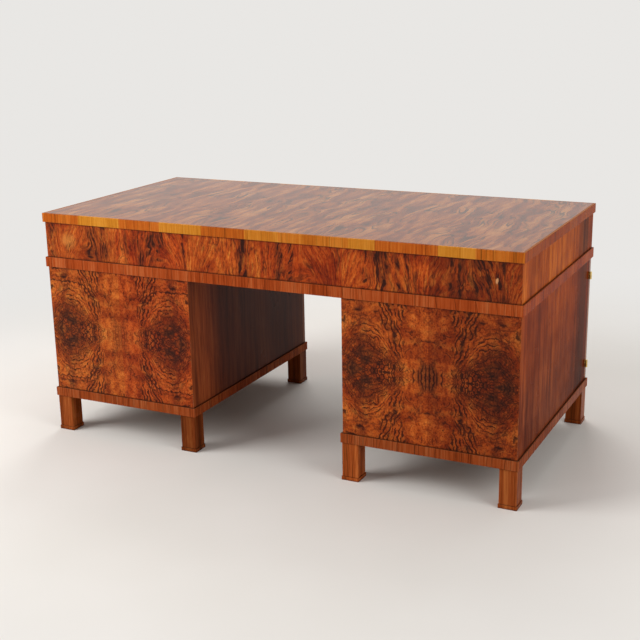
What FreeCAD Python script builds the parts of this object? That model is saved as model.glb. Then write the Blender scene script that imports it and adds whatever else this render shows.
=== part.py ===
import FreeCAD, Part
import os

# A walnut writing desk: two pedestals with doors carry a frieze with three drawers and a top.
# Lengths are millimetres. X runs along the desk, the user sits on the +Y side, Z is up.
# The origin is on the floor, below the middle of everything the desk takes up, keys included.

Vector = FreeCAD.Vector

# Heights, from the floor up
leg_height = 126.0
base_thickness = 31.0
pedestal_height = 437.0
waist_thickness = 34.0
frieze_height = 121.0
top_thickness = 31.0

# Plan of the desk
top_length = 1684.0
top_depth = 834.0
pedestal_width = 562.0
edge_projection = 6.0

# Boards
panel_thickness = 20.0
lipping_width = 8.0
lipping_rounding = 1.5
corner_rounding = 1.0

# Legs and feet
leg_width = 55.0
leg_inset = 4.0
leg_rounding = 1.5
tenon_radius = 12.0
tenon_length = 18.0
tenon_fit = 0.1
foot_height = 12.0
foot_projection = 2.0

# Inside each pedestal
top_board_thickness = 18.0
shelf_thickness = 18.0
shelf_height = 210.0
shelf_gap = 1.0
shelf_setback = 30.0
peg_radius = 3.0
peg_depth = 10.0
peg_reach = 10.0
peg_inset = 60.0
peg_fit = 0.05

# Screws that hold the frieze down on the pedestals
fixing_radius = 2.25
fixing_length = 42.0
fixing_head_radius = 4.5
fixing_head_height = 3.0
fixing_inset = 80.0
fixing_fit = 0.1

# Frieze
rail_thickness = 18.0
rail_depth = 70.0
kicker_width = 20.0
stop_length = 40.0
stop_width = 8.0
stop_height = 5.0
stop_inset = 60.0
stop_gap = 0.3

# Drawers
drawer_front_thickness = 20.0
drawer_gap = 1.0
drawer_length = 640.0
drawer_side_thickness = 12.0
drawer_back_thickness = 12.0
drawer_side_gap = 0.5
drawer_running_gap = 0.3
drawer_top_gap = 9.0
drawer_back_drop = 4.0
drawer_bottom_thickness = 5.0
drawer_bottom_lift = 8.0
groove_depth = 6.0
groove_fit = 0.1
dovetail_count = 3
dovetail_depth = 12.0
dovetail_root_width = 18.0
dovetail_end_width = 21.0
dovetail_fit = 0.1

# Doors
door_thickness = 20.0
door_gap = 1.5
door_back_gap = 1.0
front_rounding = 1.0

# Door hinges: two knuckles that stand outside the pedestal, on leaves let into the wood
hinge_inset = 60.0
hinge_height = 26.0
hinge_offset = 5.25
knuckle_radius = 4.25
knuckle_gap = 0.3
hinge_pin_radius = 1.75
hinge_pin_clearance = 0.05
leaf_width = 16.0
leaf_thickness = 2.0
leaf_fit = 0.1
leaf_screw_pitch = 14.0
leaf_screw_radius = 1.3
leaf_screw_head_radius = 2.6
leaf_screw_length = 14.0
leaf_screw_fit = 0.05

# Locks: a brass case on the back of each door and drawer front, with a bolt and a key
lock_width = 44.0
lock_depth = 14.0
lock_tail = 16.0
lock_reach = 30.0
lock_wall = 1.5
door_lock_gap = 2.0
bolt_width = 16.0
bolt_thickness = 5.0
bolt_length = 18.0
bolt_throw = 8.0
bolt_fit = 0.3
strike_length = 40.0
strike_width = 12.0
strike_thickness = 1.5
strike_clearance = 0.6
strike_spare_depth = 2.0
strike_fit = 0.1
escutcheon_width = 16.0
escutcheon_height = 32.0
escutcheon_thickness = 1.5

# Keys
key_radius = 2.5
key_clearance = 0.08
key_tip_gap = 0.5
key_stand_out = 18.0
key_collar_radius = 4.0
key_collar_length = 3.0
key_collar_setback = 3.0
bit_reach = 9.0
bit_length = 6.0
bit_thickness = 2.0
bit_clearance = 0.5
keyhole_margin = 1.0
bow_radius = 11.0
bow_hole_radius = 6.5
bow_thickness = 3.0

# Helpers for modelling: how far a cut runs past a face, and how close counts as on a plane
overrun = 1.0
on_plane = 0.001

# Levels that follow from the heights
base_bottom = leg_height
base_top = base_bottom + base_thickness
waist_bottom = base_top + pedestal_height
waist_top = waist_bottom + waist_thickness
top_bottom = waist_top + frieze_height
top_top = top_bottom + top_thickness
rail_bottom = top_bottom - rail_thickness

# Lines of the plan along X, for the right half
slab_side = top_length / 2
carcass_side = slab_side - edge_projection
kneehole_side = carcass_side - pedestal_width
outer_inside = carcass_side - panel_thickness
inner_inside = kneehole_side + panel_thickness

# Lines of the plan along Y; the keys stand out past the front edge of the top
key_end = escutcheon_thickness + key_stand_out + 2 * bow_radius
key_reach = key_end - edge_projection
slab_back = -(top_depth + key_reach) / 2
slab_front = slab_back + top_depth
carcass_back = slab_back + edge_projection
back_inside = carcass_back + panel_thickness
front_face = slab_front - edge_projection
door_back = front_face - door_thickness
carcass_front = door_back - door_back_gap
drawer_front_back = front_face - drawer_front_thickness
rail_back = front_face - rail_depth
shelf_bottom = base_top + shelf_height
shelf_front = carcass_front - shelf_setback

# The axes and the hinge's place
hinge_x = carcass_side + hinge_offset
hinge_y = carcass_front + door_back_gap / 2
hinge_levels = (base_top + hinge_inset, waist_bottom - hinge_inset)
along_x = Vector(1, 0, 0)
along_y = Vector(0, 1, 0)
upward = Vector(0, 0, 1)


# Simple solids

def block(x, y, z):
    """A box between three pairs of limits."""
    size = (x[1] - x[0], y[1] - y[0], z[1] - z[0])
    return Part.makeBox(*size, Vector(x[0], y[0], z[0]))


def about(middle, size):
    """The two limits of a size centred on a middle."""
    return (middle - size / 2, middle + size / 2)


def prism(points, z):
    """An upright prism on a polygon in plan."""
    corners = [Vector(x, y, z[0]) for x, y in points]
    outline = Part.makePolygon(corners + corners[:1])
    return Part.Face(outline).extrude(upward * (z[1] - z[0]))


def rod(radius, start, direction, length):
    """A round bar from a start point."""
    return Part.makeCylinder(radius, length, Vector(*start), direction)


def fuse(*shapes):
    """Several shapes as one clean solid."""
    return shapes[0].multiFuse(list(shapes[1:])).removeSplitter()


def drilled(shape, tools):
    """A shape with every tool cut from it."""
    for tool in tools:
        shape = shape.cut(tool)
    return shape


def mirrored(shape):
    """The same piece on the left half of the desk."""
    return shape.mirror(Vector(0, 0, 0), along_x)


def is_upright(edge):
    """Whether an edge runs straight up."""
    low, high = edge.BoundBox.ZMin, edge.BoundBox.ZMax
    return high - low > max(edge.BoundBox.XLength, edge.BoundBox.YLength)


def lies_at_y(edge, y):
    """Whether a whole edge lies in the plane at this Y."""
    box = edge.BoundBox
    return abs(box.YMin - y) < on_plane and abs(box.YMax - y) < on_plane


def front_board(x, y, z):
    """A door or drawer front: a board with the arrises of its outer face rounded."""
    board = block(x, y, z)
    arrises = [edge for edge in board.Edges if lies_at_y(edge, y[1])]
    return board.makeFillet(front_rounding, arrises)


def post(x, y, z, radius):
    """A square post with its upright edges rounded."""
    body = block(x, y, z)
    return body.makeFillet(radius, [edge for edge in body.Edges if is_upright(edge)])


# Boards with mitred rims

def mitred_strips(outer, x, y, z, width):
    """The rim of an outer solid as four strips: back, right, front and left."""
    low_x, high_x = x[0] - overrun, x[1] + overrun
    low_y, high_y = y[0] - overrun, y[1] + overrun
    reach = width + 2 * overrun
    outside = [(low_x, low_y), (high_x, low_y), (high_x, high_y), (low_x, high_y)]
    inside = [
        (low_x + reach, low_y + reach),
        (high_x - reach, low_y + reach),
        (high_x - reach, high_y - reach),
        (low_x + reach, high_y - reach),
    ]
    tall = (z[0] - overrun, z[1] + overrun)
    middle = block((x[0] + width, x[1] - width), (y[0] + width, y[1] - width), tall)
    rim = outer.cut(middle)
    strips = []
    for here in range(len(outside)):
        after = (here + 1) % len(outside)
        wedge = prism([outside[here], outside[after], inside[after], inside[here]], tall)
        strips.append(rim.common(wedge))
    return strips


def lipped_board(x, y, z):
    """A board and the four mitred lippings round its edge."""
    outer = block(x, y, z)
    outer = outer.makeFillet(lipping_rounding, outer.Edges)
    lippings = mitred_strips(outer, x, y, z, lipping_width)
    core_x = (x[0] + lipping_width, x[1] - lipping_width)
    core_y = (y[0] + lipping_width, y[1] - lipping_width)
    return block(core_x, core_y, z), lippings


def open_case(x, y, z):
    """Back, right and left walls of a case open at the front, mitred at the back corners."""
    longer = (y[0], y[1] + panel_thickness + overrun)
    outer = block(x, longer, z)
    back_edges = []
    for edge in outer.Edges:
        if is_upright(edge) and lies_at_y(edge, y[0]):
            back_edges.append(edge)
    outer = outer.makeFillet(corner_rounding, back_edges)
    back, right, _, left = mitred_strips(outer, x, longer, z, panel_thickness)
    room = block(x, y, z)
    return back, right.common(room), left.common(room)


# Keys and locks

def keyhole(x, z, y, radius, margin):
    """The space a key needs: a round hole with a slot below it for the bit."""
    slot_width = bit_thickness + 2 * margin
    hole = rod(radius, (x, y[0], z), along_y, y[1] - y[0])
    slot = block(about(x, slot_width), y, (z - bit_reach - margin, z))
    return fuse(hole, slot)


def key(x, z, inside, outside):
    """A key in its lock, bit down, from the case's inside to its round bow."""
    tip = inside - lock_depth + lock_wall + key_tip_gap
    bow_start = outside + escutcheon_thickness + key_stand_out
    shank_end = bow_start + (bow_radius - bow_hole_radius) / 2
    shank = rod(key_radius, (x, tip, z), along_y, shank_end - tip)
    bit_y = about(inside - lock_depth / 2, bit_length)
    bit = block(about(x, bit_thickness), bit_y, (z - bit_reach, z))
    collar_start = bow_start - key_collar_setback - key_collar_length
    collar = rod(key_collar_radius, (x, collar_start, z), along_y, key_collar_length)
    bow_side = x - bow_thickness / 2
    bow_middle = (bow_side, bow_start + bow_radius, z)
    bow = rod(bow_radius, bow_middle, along_x, bow_thickness)
    finger_hole = rod(bow_hole_radius, bow_middle, along_x, bow_thickness)
    return fuse(shank, bit, collar, bow.cut(finger_hole))


def escutcheon(x, z, face):
    """A long brass plate with round ends round the keyhole."""
    middle = z - (bit_reach - key_radius) / 2
    end_radius = escutcheon_width / 2
    straight = escutcheon_height - escutcheon_width
    ends = []
    for level in about(middle, straight):
        ends.append(rod(end_radius, (x, face, level), along_y, escutcheon_thickness))
    thick = (face, face + escutcheon_thickness)
    plate = fuse(block(about(x, escutcheon_width), thick, about(middle, straight)), *ends)
    through = (face - overrun, face + escutcheon_thickness + overrun)
    return plate.cut(keyhole(x, z, through, key_radius + key_clearance, bit_clearance))


def lock_case(x, z, inside, angle):
    """A hollow case on the back of a front, its bolt end turned about the key."""
    deep = (inside - lock_depth, inside)
    outer = block(about(x, lock_width), deep, (z - lock_tail, z + lock_reach))
    hollow = block(
        about(x, lock_width - 2 * lock_wall),
        (deep[0] + lock_wall, deep[1] - lock_wall),
        (z - lock_tail + lock_wall, z + lock_reach - lock_wall),
    )
    bolt_slot = block(
        about(x, bolt_width + 2 * bolt_fit),
        about(inside - lock_depth / 2, bolt_thickness + 2 * bolt_fit),
        (z + lock_reach - lock_wall - overrun, z + lock_reach + overrun),
    )
    case = turned(outer.cut(hollow).cut(bolt_slot), x, z, angle)
    mouth = (inside - lock_wall - overrun, inside + overrun)
    return case.cut(keyhole(x, z, mouth, key_radius + key_clearance, bit_clearance))


def bolt(x, z, inside, angle):
    """The bolt, drawn back so that its end is level with the case."""
    bolt_y = about(inside - lock_depth / 2, bolt_thickness)
    bolt_z = (z + lock_reach - bolt_length, z + lock_reach)
    return turned(block(about(x, bolt_width), bolt_y, bolt_z), x, z, angle)


def strike(x, z, inside, gap, angle):
    """A strike plate let into the frame, with the recess and the slot to cut for them."""
    face = z + lock_reach + gap
    middle = inside - lock_depth / 2
    plate_z = (face, face + strike_thickness)
    plate = block(about(x, strike_length), about(middle, strike_width), plate_z)
    recess = block(
        about(x, strike_length + 2 * strike_fit),
        about(middle, strike_width + 2 * strike_fit),
        (face - overrun, face + strike_thickness),
    )
    slot = block(
        about(x, bolt_width + 2 * strike_clearance),
        about(middle, bolt_thickness + 2 * strike_clearance),
        (face - overrun, face + bolt_throw + strike_spare_depth),
    )
    plate = turned(plate.cut(slot), x, z, angle)
    return plate, [turned(recess, x, z, angle), turned(slot, x, z, angle)]


def turned(shape, x, z, angle):
    """A piece of a lock turned about the key's axis."""
    copy = shape.copy()
    copy.rotate(Vector(x, 0, z), along_y, angle)
    return copy


# Hinges

def leaf_screw(z, y, direction, margin):
    """A countersunk screw in a hinge leaf, from the leaf's face into the wood."""
    x = carcass_side - leaf_width / 2
    head_height = leaf_screw_head_radius - leaf_screw_radius
    start = Vector(x, y, z)
    wide = leaf_screw_head_radius + margin
    narrow = leaf_screw_radius + margin
    head = Part.makeCone(wide, narrow, head_height, start, direction)
    shank = Part.makeCylinder(narrow, leaf_screw_length + margin, start, direction)
    return fuse(head, shank)


def leaf_screws(level, y, direction, margin=0):
    """The two screws of one leaf."""
    return [leaf_screw(z, y, direction, margin) for z in about(level, leaf_screw_pitch)]


def leaf(level, y, knuckle_z):
    """A leaf with its knuckle, which takes up half of the hinge's height."""
    plate = block((carcass_side - leaf_width, carcass_side), y, about(level, hinge_height))
    neck = block((carcass_side, hinge_x), y, knuckle_z)
    height = knuckle_z[1] - knuckle_z[0]
    knuckle = rod(knuckle_radius, (hinge_x, hinge_y, knuckle_z[0]), upward, height)
    return fuse(plate, neck, knuckle)


def fixed_half(level):
    """The half on the pedestal: a leaf with the lower knuckle and the pin, and two screws."""
    bottom, top = about(level, hinge_height)
    y = (carcass_front - leaf_thickness, carcass_front)
    pin = rod(hinge_pin_radius, (hinge_x, hinge_y, bottom), upward, hinge_height)
    body = fuse(leaf(level, y, (bottom, level - knuckle_gap / 2)), pin)
    body = drilled(body, leaf_screws(level, carcass_front, -along_y, leaf_screw_fit))
    return [body] + leaf_screws(level, carcass_front, -along_y)


def moving_half(level):
    """The half on the door: a leaf with the upper knuckle, and two screws."""
    bottom, top = about(level, hinge_height)
    y = (door_back, door_back + leaf_thickness)
    bore_radius = hinge_pin_radius + hinge_pin_clearance
    bore = rod(bore_radius, (hinge_x, hinge_y, bottom), upward, hinge_height + overrun)
    body = leaf(level, y, (level + knuckle_gap / 2, top)).cut(bore)
    body = drilled(body, leaf_screws(level, door_back, along_y, leaf_screw_fit))
    return [body] + leaf_screws(level, door_back, along_y)


def leaf_pocket(level, y):
    """The recess that lets a leaf into an edge or a door."""
    x = (carcass_side - leaf_width - leaf_fit, carcass_side + overrun)
    return block(x, y, about(level, hinge_height + 2 * leaf_fit))


def hinge_cuts(leaf_y, face, direction):
    """The pockets and screw holes for the leaves on one piece of wood."""
    cuts = []
    for level in hinge_levels:
        cuts.append(leaf_pocket(level, leaf_y))
        cuts += leaf_screws(level, face, direction, leaf_screw_fit)
    return cuts


# Pedestal, built as the right one

def leg_corners():
    """The limits in plan of each leg of the right pedestal."""
    low_x = kneehole_side - edge_projection + leg_inset
    high_x = slab_side - leg_inset
    low_y = slab_back + leg_inset
    high_y = slab_front - leg_inset
    corners = []
    for x in ((low_x, low_x + leg_width), (high_x - leg_width, high_x)):
        for y in ((low_y, low_y + leg_width), (high_y - leg_width, high_y)):
            corners.append((x, y))
    return corners


def leg_tenons(radius):
    """The round tenons on the legs, or the holes for them."""
    tenons = []
    for x, y in leg_corners():
        foot_of_tenon = (sum(x) / 2, sum(y) / 2, base_bottom)
        tenons.append(rod(radius, foot_of_tenon, upward, tenon_length))
    return tenons


def legs():
    """Four square legs with a round tenon each."""
    posts = []
    for (x, y), tenon in zip(leg_corners(), leg_tenons(tenon_radius)):
        posts.append(fuse(post(x, y, (foot_height, base_bottom), leg_rounding), tenon))
    return posts


def feet():
    """A slightly wider foot under each leg."""
    pads = []
    for x, y in leg_corners():
        wide_x = (x[0] - foot_projection, x[1] + foot_projection)
        wide_y = (y[0] - foot_projection, y[1] + foot_projection)
        pads.append(post(wide_x, wide_y, (0, foot_height), leg_rounding))
    return pads


def base():
    """The base board and its lippings."""
    x = (kneehole_side - edge_projection, slab_side)
    core, lippings = lipped_board(x, (slab_back, slab_front), (base_bottom, base_top))
    return drilled(core, leg_tenons(tenon_radius + tenon_fit)), lippings


def fixing_screw(x, y, margin=0):
    """A screw from below through the pedestal's top board into the waist board."""
    board_bottom = waist_bottom - top_board_thickness
    shank = rod(fixing_radius + margin, (x, y, board_bottom), upward, fixing_length + margin)
    head_start = (x, y, board_bottom - fixing_head_height)
    head = rod(fixing_head_radius, head_start, upward, fixing_head_height)
    return fuse(head, shank)


def fixing_screws(margin=0):
    """The four screws of the right pedestal."""
    screws = []
    for x in (inner_inside + fixing_inset, outer_inside - fixing_inset):
        for y in (back_inside + fixing_inset, carcass_front - fixing_inset):
            screws.append(fixing_screw(x, y, margin))
    return screws


def top_board():
    """The board that closes the pedestal at the top."""
    x = (inner_inside, outer_inside)
    z = (waist_bottom - top_board_thickness, waist_bottom)
    return drilled(block(x, (back_inside, carcass_front), z), fixing_screws(fixing_fit))


def shelf_pegs(margin=0):
    """The pegs under the shelf, or the holes for them."""
    length = peg_depth + peg_reach
    pegs = []
    for y in (back_inside + peg_inset, shelf_front - peg_inset):
        for x in (inner_inside - peg_depth, outer_inside - peg_reach):
            start = (x - margin, y, shelf_bottom - peg_radius)
            pegs.append(rod(peg_radius + margin, start, along_x, length + 2 * margin))
    return pegs


def shelf():
    """A loose shelf on four pegs."""
    x = (inner_inside + shelf_gap, outer_inside - shelf_gap)
    y = (back_inside + shelf_gap, shelf_front)
    return block(x, y, (shelf_bottom, shelf_bottom + shelf_thickness))


# The door of the right pedestal, with its lock beside the kneehole
door_key_x = inner_inside + door_lock_gap + lock_reach
door_key_z = (base_top + waist_bottom) / 2
door_lock = (door_key_x, door_key_z, door_back)


def door():
    """A plain door over the pedestal's front edges, with its hinge pockets and keyhole."""
    x = (kneehole_side, carcass_side)
    z = (base_top + door_gap, waist_bottom - door_gap)
    panel = front_board(x, (door_back, front_face), z)
    leaf_y = (door_back - overrun, door_back + leaf_thickness)
    through = (door_back - overrun, front_face + overrun)
    hole = keyhole(door_key_x, door_key_z, through, key_radius + keyhole_margin, keyhole_margin)
    return drilled(panel, hinge_cuts(leaf_y, door_back, along_y) + [hole])


# Drawers

drawer_openings = {
    "left": (-outer_inside, -inner_inside),
    "centre": (-kneehole_side, kneehole_side),
    "right": (inner_inside, outer_inside),
}
drawer_key_z = rail_bottom - drawer_gap - lock_reach


def dovetails(x, z, margin=0):
    """The tails on the front end of a drawer side, or the sockets for them in the front."""
    start = drawer_front_back
    end = drawer_front_back + dovetail_depth + margin
    narrow = dovetail_root_width + 2 * margin
    wide = dovetail_end_width + 2 * margin
    pitch = (z[1] - z[0]) / dovetail_count
    tails = []
    for number in range(dovetail_count):
        middle = z[0] + (number + 0.5) * pitch
        root_low, root_high = about(middle, narrow)
        end_low, end_high = about(middle, wide)
        outline = [
            Vector(x[0] - margin, start - overrun, root_low),
            Vector(x[0] - margin, start, root_low),
            Vector(x[0] - margin, end, end_low),
            Vector(x[0] - margin, end, end_high),
            Vector(x[0] - margin, start, root_high),
            Vector(x[0] - margin, start - overrun, root_high),
        ]
        face = Part.Face(Part.makePolygon(outline + outline[:1]))
        tails.append(face.extrude(along_x * (x[1] - x[0] + 2 * margin)))
    return tails


def drawer(opening):
    """One drawer's front, its box of two sides and a back, and its bottom."""
    low, high = opening
    side_z = (waist_top + drawer_running_gap, rail_bottom - drawer_top_gap)
    side_x = [
        (low + drawer_side_gap, low + drawer_side_gap + drawer_side_thickness),
        (high - drawer_side_gap - drawer_side_thickness, high - drawer_side_gap),
    ]
    back_y = front_face - drawer_length
    bottom_z = side_z[0] + drawer_bottom_lift
    bottom_top = bottom_z + drawer_bottom_thickness
    reach = groove_depth - groove_fit
    bottom = block(
        (side_x[0][1] - reach, side_x[1][0] + reach),
        (back_y, drawer_front_back + reach),
        (bottom_z, bottom_top),
    )
    groove = block(
        (side_x[0][1] - groove_depth, side_x[1][0] + groove_depth),
        (back_y - overrun, drawer_front_back + groove_depth),
        (bottom_z - groove_fit, bottom_top + groove_fit),
    )
    box = []
    sockets = []
    for x in side_x:
        side = fuse(block(x, (back_y, drawer_front_back), side_z), *dovetails(x, side_z))
        box.append(side.cut(groove))
        sockets += dovetails(x, side_z, dovetail_fit)
    inner_x = (side_x[0][1], side_x[1][0])
    back_z = (bottom_top, side_z[1] - drawer_back_drop)
    box.append(block(inner_x, (back_y, back_y + drawer_back_thickness), back_z))
    front_x = (low + drawer_gap, high - drawer_gap)
    front_z = (waist_top + drawer_gap, rail_bottom - drawer_gap)
    through = (drawer_front_back - overrun, front_face + overrun)
    hole_radius = key_radius + keyhole_margin
    hole = keyhole((low + high) / 2, drawer_key_z, through, hole_radius, keyhole_margin)
    front = front_board(front_x, (drawer_front_back, front_face), front_z)
    return drilled(front, [groove, hole] + sockets), box, bottom


def drawer_stops():
    """Small blocks behind each drawer front, which stop it level with the frame."""
    y = (drawer_front_back - stop_gap - stop_width, drawer_front_back - stop_gap)
    z = (waist_top, waist_top + stop_height)
    blocks = []
    for low, high in drawer_openings.values():
        for start in (low + stop_inset, high - stop_inset - stop_length):
            blocks.append(block((start, start + stop_length), y, z))
    return blocks


# Frieze

def kickers():
    """Strips under the top that keep the drawers from tipping."""
    y = (back_inside, rail_back)
    z = (rail_bottom, top_bottom)
    right_end = block((outer_inside - kicker_width, outer_inside), y, z)
    divider_x = (kneehole_side - kicker_width, inner_inside + kicker_width)
    over_divider = block(divider_x, y, z)
    return [right_end, over_divider, mirrored(over_divider), mirrored(right_end)]


def dividers():
    """The two uprights between the drawers, above the kneehole's sides."""
    x = (kneehole_side, inner_inside)
    upright = block(x, (back_inside, front_face), (waist_top, rail_bottom))
    return [upright, mirrored(upright)]


# All pieces by name
pieces = {}


def add(name, solids):
    """Keep a piece, or a group of like pieces, under its name."""
    pieces[name] = Part.makeCompound(solids) if len(solids) > 1 else solids[0]


def both(solids):
    """The solids of the right half and their images on the left."""
    return solids + [mirrored(solid) for solid in solids]


# The top
slab_x = (-slab_side, slab_side)
slab_y = (slab_back, slab_front)
top_panel, top_lippings = lipped_board(slab_x, slab_y, (top_bottom, top_top))
add("top_panel", [top_panel])
add("top_edge_band", top_lippings)

# The frieze on its waist board
waist_board, waist_lippings = lipped_board(slab_x, slab_y, (waist_bottom, waist_top))
add("waist_board", [drilled(waist_board, both(fixing_screws(fixing_fit)))])
add("waist_band", waist_lippings)
frieze_back, frieze_right, frieze_left = open_case(
    (-carcass_side, carcass_side), (carcass_back, front_face), (waist_top, top_bottom)
)
add("frieze_back", [frieze_back])
add("frieze_right_end", [frieze_right])
add("frieze_left_end", [frieze_left])
add("frieze_dividers", dividers())
add("drawer_kickers", kickers())
add("drawer_stops", drawer_stops())

# The pedestals
case_back, outer_side, inner_side = open_case(
    (kneehole_side, carcass_side), (carcass_back, carcass_front), (base_top, waist_bottom)
)
fixed_leaf_y = (carcass_front - leaf_thickness, carcass_front + overrun)
side_hinge_cuts = hinge_cuts(fixed_leaf_y, carcass_front, -along_y)
door_strike, door_strike_cuts = strike(*door_lock, door_lock_gap, -90)
base_board, base_lippings = base()
right_pedestal = {
    "base_board": [base_board],
    "plinth_band": base_lippings,
    "legs": legs(),
    "back_panel": [case_back],
    "outer_side": [drilled(outer_side, side_hinge_cuts + shelf_pegs(peg_fit))],
    "inner_side": [drilled(inner_side, door_strike_cuts + shelf_pegs(peg_fit))],
    "top_board": [top_board()],
    "shelf": [shelf()],
}

# The doors with what is fixed to them or moves in them
door_case = lock_case(*door_lock, -90)
door_plate = escutcheon(door_key_x, door_key_z, front_face)
right_door = {
    "door_panel": [door()],
    "hinge_moving_halves": [solid for level in hinge_levels for solid in moving_half(level)],
    "door_lock": [door_case, door_plate],
    "door_bolt": [bolt(*door_lock, -90)],
    "door_key": [key(*door_lock, front_face)],
}
for name, solids in {**right_pedestal, **right_door}.items():
    add("right_" + name, solids)
    add("left_" + name, [mirrored(solid) for solid in solids])

# The drawers, and the rail above them with a strike for each lock
strikes = both([door_strike])
rail = block((-outer_inside, outer_inside), (rail_back, front_face), (rail_bottom, top_bottom))
for name, opening in drawer_openings.items():
    key_x = sum(opening) / 2
    lock = (key_x, drawer_key_z, drawer_front_back)
    front, box, bottom = drawer(opening)
    plate, cuts = strike(*lock, drawer_gap, 0)
    rail = drilled(rail, cuts)
    strikes.append(plate)
    add(name + "_drawer_front", [front])
    add(name + "_drawer_box", box)
    add(name + "_drawer_bottom", [bottom])
    add(name + "_drawer_lock", [lock_case(*lock, 0), escutcheon(key_x, drawer_key_z, front_face)])
    add(name + "_drawer_bolt", [bolt(*lock, 0)])
    add(name + "_drawer_key", [key(*lock, front_face)])
add("frieze_top_rail", [rail])
add("strike_plates", strikes)

# Small pieces of both pedestals, each kind in one group
add("feet", both(feet()))
add("shelf_pegs", both(shelf_pegs()))
add("fixing_screws", both(fixing_screws()))
fixed_halves = [solid for level in hinge_levels for solid in fixed_half(level)]
add("hinge_fixed_halves", both(fixed_halves))

os.makedirs("parts", exist_ok=True)
for name, shape in pieces.items():
    shape.exportStep(os.path.join("parts", name + ".step"))
print(len(pieces), "pieces written")
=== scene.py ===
# %% [markdown]
# # A walnut writing desk
# The desk comes from the CAD model with every board, drawer, lock and key in its place. This lesson
# gives it its finish: burr and flame walnut veneer, walnut laid across the edges, solid walnut
# legs, beech inside, and old brass. The boards could be modelled once more, but the CAD model has
# them exactly, so they stay as they are. The work goes into what the eye reads as wood: how the
# grain runs on each face, how its dark lines gather, and how the lacquer shines. Only the keys,
# pins and lock screws are modelled anew.

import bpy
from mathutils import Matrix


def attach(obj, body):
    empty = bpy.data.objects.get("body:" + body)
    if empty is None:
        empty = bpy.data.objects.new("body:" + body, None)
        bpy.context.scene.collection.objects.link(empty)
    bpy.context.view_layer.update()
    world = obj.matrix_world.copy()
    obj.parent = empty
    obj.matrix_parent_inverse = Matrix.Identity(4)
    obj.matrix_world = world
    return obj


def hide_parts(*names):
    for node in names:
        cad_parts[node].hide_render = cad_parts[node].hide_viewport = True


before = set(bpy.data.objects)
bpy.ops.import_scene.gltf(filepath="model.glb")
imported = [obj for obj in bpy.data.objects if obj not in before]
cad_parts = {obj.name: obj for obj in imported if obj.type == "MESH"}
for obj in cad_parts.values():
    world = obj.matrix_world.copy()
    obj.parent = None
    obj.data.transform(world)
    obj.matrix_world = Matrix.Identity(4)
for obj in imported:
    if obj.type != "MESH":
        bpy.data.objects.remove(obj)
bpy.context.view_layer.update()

# %% [markdown]
# # The floor
# The desk stands on a pale studio floor. A curved sweep behind it could close the view, but it
# would stand in the way when the desk is looked at from its drawers' side. A wide plane whose paint
# fades into the background shows no edge from any side.

# %% Floor
import bpy
from math import pi, radians
from mathutils import Matrix, Vector

floor_size = 24.0

bpy.ops.object.select_all(action="DESELECT")
bpy.ops.mesh.primitive_plane_add(size=floor_size)
floor = bpy.context.object
floor.name = "studio_floor"
print("The floor is", floor_size, "metres wide")

# %% [markdown]
# # The camera
# The photograph was taken from eye height, to the right of the desk's finished back. The camera's
# place was worked out from the desk's corners in it. A constraint could aim the camera, but a turn
# about the upright axis, a tilt down and a slight roll give the same view in plain numbers that can
# be changed.

# %% Camera
camera_place = Vector((1.70736, -3.45266, 1.47817))
turn_left = radians(26.467)
tilt_down = radians(15.904)
roll = radians(-1.0384)
lens_length = 64.404
sensor_width = 36.0

camera_data = bpy.data.cameras.new("camera")
camera_data.lens = lens_length
camera_data.sensor_width = sensor_width
camera = bpy.data.objects.new("camera", camera_data)
bpy.context.scene.collection.objects.link(camera)
aim = Matrix.Rotation(turn_left, 4, "Z") @ Matrix.Rotation(pi / 2 - tilt_down, 4, "X")
camera.matrix_world = Matrix.Translation(camera_place) @ aim @ Matrix.Rotation(roll, 4, "Z")
bpy.context.scene.camera = camera
print("The camera stands", round(camera_place.length, 2), "metres from the middle of the floor")

# %% [markdown]
# # The lamps
# Polished wood shows every lamp in it, so point lamps or a sun would leave hard spots. Large square
# lamps stay soft. The strongest stands to the left of the finished back, so the desk grows darker
# away from it, as in the photograph. A weaker one on the right keeps the end from going black, one
# overhead lights the top, and one behind lights the drawers' side.

# %% Lamps
def soft_lamp(name, place, target, size, watts):
    """A square lamp of this size in metres and this power, which faces a target."""
    data = bpy.data.lights.new(name, "AREA")
    data.size = size
    data.energy = watts
    lamp = bpy.data.objects.new(name, data)
    bpy.context.scene.collection.objects.link(lamp)
    lamp.location = place
    lamp.rotation_euler = (Vector(target) - Vector(place)).to_track_quat("-Z", "Y").to_euler()
    return lamp


lamps = [
    soft_lamp("left_lamp", (-3.0, -2.6, 2.4), (-0.3, -0.2, 0.4), 2.4, 147),
    soft_lamp("right_lamp", (3.4, -1.2, 2.2), (0.8, 0.0, 0.4), 2.0, 45),
    soft_lamp("top_lamp", (0.0, 0.4, 3.4), (0.0, 0.0, 0.8), 2.6, 22),
    soft_lamp("back_lamp", (-1.2, 3.2, 4.0), (0.0, 0.3, 0.4), 2.4, 90),
]
print("The studio has", len(lamps), "lamps")

# %% [markdown]
# # Helpers for materials
# A material is a tree of nodes. Each node could be made with a dozen lines of calls, or with one
# function for every kind of node. A single small function for all of them is enough: it takes the
# kind, the values and links of the inputs in their order, and the settings. Colours are written as
# sRGB hex codes, as on a paint chart, and one function turns them to the linear values that the
# renderer works in.

# %% Colours
def linear(code):
    """The linear colour for an sRGB hex code."""
    shares = [int(code[start:start + 2], 16) / 255 for start in (0, 2, 4)]
    curve = [s / 12.92 if s <= 0.04045 else ((s + 0.055) / 1.055) ** 2.4 for s in shares]
    return (*curve, 1.0)


print("Walnut brown in linear light:", [round(share, 3) for share in linear("AE5622")[:3]])

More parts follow.
